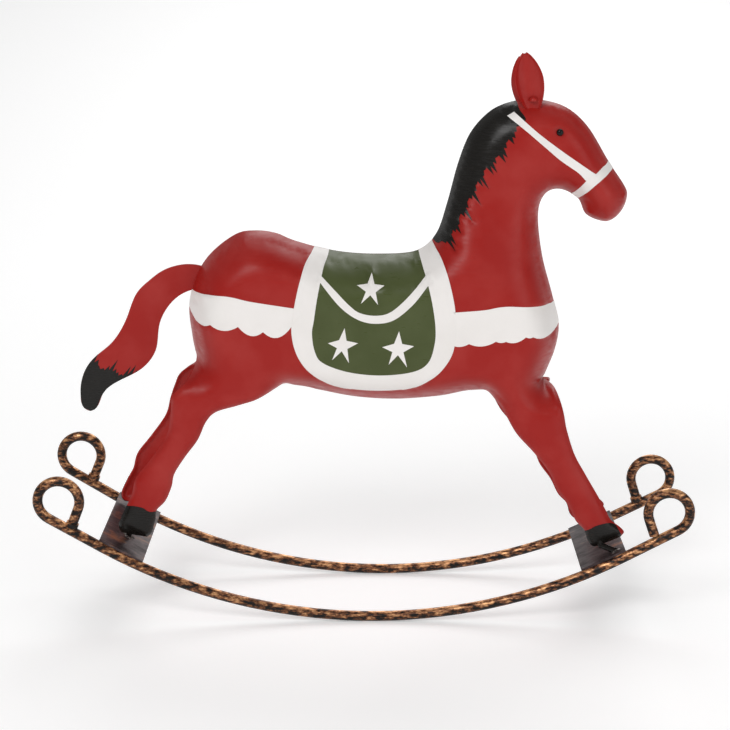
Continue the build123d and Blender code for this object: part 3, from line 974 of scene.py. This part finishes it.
    def build(self) -> None:
        """Build the sheet half, its paint, its ear and its eye."""
        sign = self.side.value
        rim = self.outline()
        areas = self.areas()
        at, tris = self.sheet_mesh(rim, areas)
        height, distance = self.height(at, rim)
        height = self.relaxed(height, distance, tris)
        saddle = areas[1].loops[0]
        edge_gap, _ = to_loop(at, saddle, np.zeros(len(saddle)))
        height = height + self.emboss * smooth_step(edge_gap / 2.0) * inside(at, saddle)
        reach = np.hypot(*(at - np.array(self.eye_at)).T) / self.dimple_radius
        height = height - self.dimple_depth * (1.0 - np.clip(reach, 0.0, 1.0) ** 2) ** 2
        outer = np.column_stack([at[:, 0], sign * (height + self.seam_gap), at[:, 1]])
        faces = tris if self.side is Side.RIGHT else tris[:, ::-1]
        normals = vertex_normals(outer, faces)
        inner = outer - normals * self.sheet
        inner[:, 1] = sign * np.maximum(sign * inner[:, 1], self.seam_gap / 4)
        shell = slab(f"painted_shell_{self.side.label}", outer, inner, faces, self.finishes.red)
        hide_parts(f"body_shell_{self.side.label}")
        middle = at[faces].mean(axis=1)
        for area in areas:
            chosen = np.zeros(len(faces), bool)
            for loop in area.loops:
                chosen |= inside(middle, loop)
            for loop in area.holes:
                chosen &= ~inside(middle, loop)
            finish = getattr(self.finishes, area.colour)
            upper = outer + normals * area.thickness
            lower = outer - normals * PAINT_SINK
            slab(
                f"{area.name}_{self.side.label}", upper, lower, faces[chosen],
                finish,
            )
        self.eye(rim)
        Ear(self.side, self.finishes).build()

    def eye(self, rim: np.ndarray) -> None:
        """Glossy bead: an ellipsoid, flatter across than it is tall, sunk 0.2 mm into the sheet.

        The radius is a half circle over v turned round Y over u, and its depth is 0.8 of its size.

        Args:
            rim: Outline with rim heights.
        """
        ground, _ = self.height(np.array([self.eye_at]), rim)
        u = np.linspace(0.0, 2 * math.pi, 28, endpoint=False)
        v = np.linspace(0.04, math.pi - 0.04, 18)
        turn, bend = np.meshgrid(u, v)
        radius = self.eye_size / 2
        x = self.eye_at[0] + radius * np.sin(bend) * np.cos(turn)
        z = self.eye_at[1] + radius * np.sin(bend) * np.sin(turn)
        y = self.side.value * (ground[0] - 0.2 + 0.8 * radius * np.cos(bend))
        places = np.column_stack([x.ravel(), y.ravel(), z.ravel()])
        faces = grid_faces(len(v), len(u), True).tolist()
        top, bottom = list(range(len(u))), list(range((len(v) - 1) * len(u), len(v) * len(u)))
        faces += [top[::-1], bottom]
        if self.side is Side.RIGHT:
            faces = [face[::-1] for face in faces]
        bead = make_piece(f"eye_bead_{self.side.label}", places, faces, self.finishes.bead)
        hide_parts(f"eye_{self.side.label}")


@dataclass
class Ear:
    """Leaf-shaped cupped ear of thin sheet, open towards its own side."""

    side: Side
    finishes: Finishes
    leaf: tuple[tuple[float, float], ...] = (
        (1.2, -3.4), (3.6, 0.6), (5.6, 6.0), (6.4, 11.4), (6.1, 16.0), (4.6, 20.8), (2.5, 24.4), (0.5, 26.4),
    )
    sheet: float = 0.8
    cup: float = 0.062
    tilt: float = math.radians(10.4)
    splay: float = math.radians(4.0)
    base: tuple[float, float, float] = (81.6, 6.4, 255.6)
    left_drop: float = 3.0

    def build(self) -> None:
        """Build the leaf as a grid.

        Across the leaf u runs from -1 to 1 and its half width follows the leaf's profile over v.
        The sheet bows sideways by cup times the square of the distance from its middle line, its
        rim rolls out a little more, and the whole leaf is tilted back and splayed out.
        """
        sign = self.side.value
        drop = self.left_drop if self.side is Side.LEFT else 0.0
        profile = curve_through([tuple(point) for point in self.leaf], 0.8)
        u = np.linspace(-1.0, 1.0, 21)
        x = profile[:, :1] * u
        up = np.repeat(profile[:, 1:], len(u), axis=1)
        bow = self.cup * x**2 + 0.5 * smooth_step((abs(u) - 0.8) / 0.2) + 0.0012 * (up - 9.0) ** 2
        out = sign * bow
        tilted_x = x * math.cos(self.tilt) - up * math.sin(self.tilt)
        tilted_z = x * math.sin(self.tilt) + up * math.cos(self.tilt)
        y = sign * (self.base[1] + 0.5 * drop) + out + sign * tilted_z * math.sin(self.splay)
        places = np.column_stack([
            (self.base[0] + tilted_x).ravel(), y.ravel(), (self.base[2] - drop + tilted_z).ravel(),
        ])
        quads = grid_faces(len(profile), len(u), False)
        faces = np.vstack([quads[:, [0, 1, 2]], quads[:, [0, 2, 3]]])
        if self.side is Side.LEFT:
            faces = faces[:, ::-1]
        normals = vertex_normals(places, faces)
        piece = slab(
            f"leaf_ear_{self.side.label}", places, places - normals * self.sheet, faces,
            self.finishes.red,
        )
        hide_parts(f"ear_{self.side.label}")


# ---- tail, rockers and welds ----------------------------------------------------
@dataclass
class Tail:
    """The flat tail plate: the CAD plate with its black brushed tip on both faces."""

    finishes: Finishes
    half_sheet: float = 0.6
    paint: float = 0.12

    def build(self) -> None:
        """Dress the plate and add the painted tip."""
        dress("tail_plate", self.finishes.red, smooth=False)
        edge = feathered(TAIL_TIP_EDGE, (0.55, 0.83), longest=11.0, step=1.2, seed=11, lock_mm=12.0)
        tip = np.vstack([curve_through(TAIL_TOP, 1.2), curve_through(TAIL_UNDER, 1.2)[1:]])
        crop = np.vstack([edge, [(-112.0, 90.0), (-155.0, 90.0), (-155.0, 128.0)]])
        at, tris, middle, _ = triangulated([tip, crop], np.empty((0, 2)))
        tris = tris[inside(middle, tip) & inside(middle, crop)]
        for side in Side:
            faces = tris if side is Side.RIGHT else tris[:, ::-1]
            level = np.full(len(at), side.value * self.half_sheet)
            lower = np.column_stack([at[:, 0], level * 0.9, at[:, 1]])
            upper = np.column_stack([at[:, 0], level + side.value * self.paint, at[:, 1]])
            slab(f"tail_tip_{side.label}", upper, lower, faces, self.finishes.black)


@dataclass
class Rockers:
    """Rods, cross plates, pegs and welds: CAD pieces with rubbed and painted finishes."""

    finishes: Finishes
    copper_nodes: tuple[str, ...] = ("rocker_rod_right", "rocker_rod_left", "loop_welds")
    plate_nodes: tuple[str, ...] = (
        "cross_plate_front", "cross_plate_rear", "plate_welds_front", "plate_welds_rear",
    )
    peg_nodes: tuple[str, ...] = (
        "hoof_peg_front_right", "hoof_peg_front_left", "hoof_peg_rear_right", "hoof_peg_rear_left",
    )
    weld_nodes: tuple[str, ...] = ("peg_top_welds", "seam_welds", "tail_welds")
    red_nodes: tuple[str, ...] = ("ear_welds",)
    around: int = 36
    rings: int = 9

    def build(self) -> None:
        """Dress the CAD pieces and add the spattered collars of weld round the pegs."""
        dressed = (
            (self.copper_nodes, self.finishes.copper), (self.plate_nodes, self.finishes.plate),
            (self.peg_nodes, self.finishes.black), (self.weld_nodes, self.finishes.weld),
            (self.red_nodes, self.finishes.red),
        )
        for names, finish in dressed:
            for name in names:
                dress(name, finish, smooth=True)
        self.collars()

    def collars(self) -> None:
        """Lumpy collar of weld at each peg's foot.

        Each is a low dome over (u, v): its radius grows from 0.9 to 3.1 mm with v, and its height
        falls by 1.7 mm with the cosine of v, both times 1 plus three sine ripples round u. It leans
        with the plate. It stands in place of the plain collar, whose middle comes from the frame.
        """
        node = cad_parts["peg_foot_welds"]
        flat = np.empty(len(node.data.vertices) * 3)
        node.data.vertices.foreach_get("co", flat)
        places = flat.reshape(-1, 3) / MM
        u = np.linspace(0.0, 2 * math.pi, self.around, endpoint=False)
        v = np.linspace(0.0, 1.0, self.rings)
        turn, fall = np.meshgrid(u, v)
        every_place, every_face, first = [], [], 0
        for number, (front, side) in enumerate((a, b) for a in (-1, 1) for b in (-1, 1)):
            chosen = places[(places[:, 0] * front > 0) & (places[:, 1] * side > 0)]
            low, high = chosen.min(axis=0), chosen.max(axis=0)
            middle = (low + high) / 2
            ripple = (
                1.0 + 0.14 * np.sin(3 * turn + number) + 0.09 * np.sin(7 * turn + 2 * number)
                + 0.05 * np.sin(11 * turn + 5 * fall)
            )
            radius = (0.9 + 2.2 * fall) * ripple
            slope = (high[2] - low[2]) / 9.0
            x = middle[0] + radius * np.cos(turn)
            y = middle[1] + radius * np.sin(turn)
            lean = front * slope * radius * np.cos(turn)
            z = middle[2] - 0.9 + lean + (1.7 * np.cos(fall * math.pi / 2) - 0.3) * ripple
            every_place.append(np.column_stack([x.ravel(), y.ravel(), z.ravel()]))
            faces = grid_faces(len(v), len(u), True)[:, ::-1] + first
            last = first + (self.rings - 1) * self.around
            caps = [list(range(first, first + self.around)), list(range(last, last + self.around))[::-1]]
            every_face += faces.tolist() + caps
            first = last + self.around
        piece = make_piece(
            "peg_foot_beads", np.vstack(every_place), every_face, self.finishes.weld,
        )
        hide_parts("peg_foot_welds")


# ---- studio -----------------------------------------------------------------------
@dataclass
class Studio:
    """Pale floor, soft lights and the camera."""

    lens: float = 89.02
    elevation: float = math.radians(14.06)
    distance: float = 915.9
    target: tuple[float, float, float] = (-0.1, 0.0, 124.75)

    def floor(self) -> None:
        """A large pale sheet under the rockers that curves up behind the horse.

        Its profile is level up to 900 mm behind the horse and then rises as a parabola. The paper
        glows a little, which keeps it near white.
        """
        x = np.linspace(-4000.0, 4000.0, 9)
        y = np.linspace(-2500.0, 3000.0, 56)
        along, back = np.meshgrid(x, y)
        z = -0.05 + np.where(back > 900.0, ((back - 900.0) / 60.0) ** 2, 0.0)
        mesh = bpy.data.meshes.new("floor")
        places = np.column_stack([along.ravel(), back.ravel(), z.ravel()]) * MM
        mesh.from_pydata(places.tolist(), [], grid_faces(len(y), len(x), False).tolist())
        mesh.polygons.foreach_set("use_smooth", np.ones(len(mesh.polygons), bool))
        piece = bpy.data.objects.new("floor", mesh)
        bpy.context.scene.collection.objects.link(piece)
        paper = bpy.data.materials.new("pale_paper")
        paper.use_nodes = True
        shader = paper.node_tree.nodes["Principled BSDF"]
        shader.inputs["Base Color"].default_value = linear("fafafa")
        shader.inputs["Roughness"].default_value = 0.9
        shader.inputs["Emission Color"].default_value = linear("ffffff")
        shader.inputs["Emission Strength"].default_value = 0.22
        mesh.materials.append(paper)

    def light(self, name: str, at: tuple[float, float, float], size: float, power: float) -> None:
        """Add a square soft light that looks at the middle of the horse.

        Args:
            name: Light name.
            at: Its place in metres.
            size: Side of the square in metres.
            power: Power in watts.
        """
        lamp = bpy.data.lights.new(name, "AREA")
        lamp.size = size
        lamp.energy = power
        holder = bpy.data.objects.new(name, lamp)
        holder.location = at
        aim = Vector((0.0, 0.0, 0.13)) - Vector(at)
        holder.rotation_euler = aim.to_track_quat("-Z", "Y").to_euler()
        bpy.context.scene.collection.objects.link(holder)

    def build(self) -> None:
        """Set up the floor, lights, surroundings and camera."""
        self.floor()
        self.light("key", (-0.7, -1.5, 1.4), 1.0, 18.0)
        self.light("fill", (1.3, -1.2, 0.6), 1.2, 6.5)
        self.light("back", (0.3, 1.4, 1.4), 1.2, 14.0)
        world = bpy.data.worlds.new("studio")
        world.use_nodes = True
        world.node_tree.nodes["Background"].inputs["Color"].default_value = linear("ffffff")
        world.node_tree.nodes["Background"].inputs["Strength"].default_value = 0.30
        bpy.context.scene.world = world
        bpy.context.scene.view_settings.view_transform = "Standard"
        camera = bpy.data.cameras.new("camera")
        camera.lens = self.lens
        camera.sensor_width = 36.0
        camera.clip_start = 0.05
        holder = bpy.data.objects.new("camera", camera)
        target = Vector(self.target) * MM
        back = Vector((0.0, -math.cos(self.elevation), math.sin(self.elevation)))
        holder.location = target + back * self.distance * MM
        holder.rotation_euler = (math.pi / 2 - self.elevation, 0.0, 0.0)
        bpy.context.scene.collection.objects.link(holder)
        bpy.context.scene.camera = holder


def main() -> None:
    """Build every piece around the frame."""
    logging.basicConfig(level=logging.INFO, format="%(name)s %(message)s")
    finishes = Finishes()
    for side in Side:
        BodyHalf(side, finishes).build()
    Tail(finishes).build()
    Rockers(finishes).build()
    Studio().build()


if __name__ == "__main__":
    main()
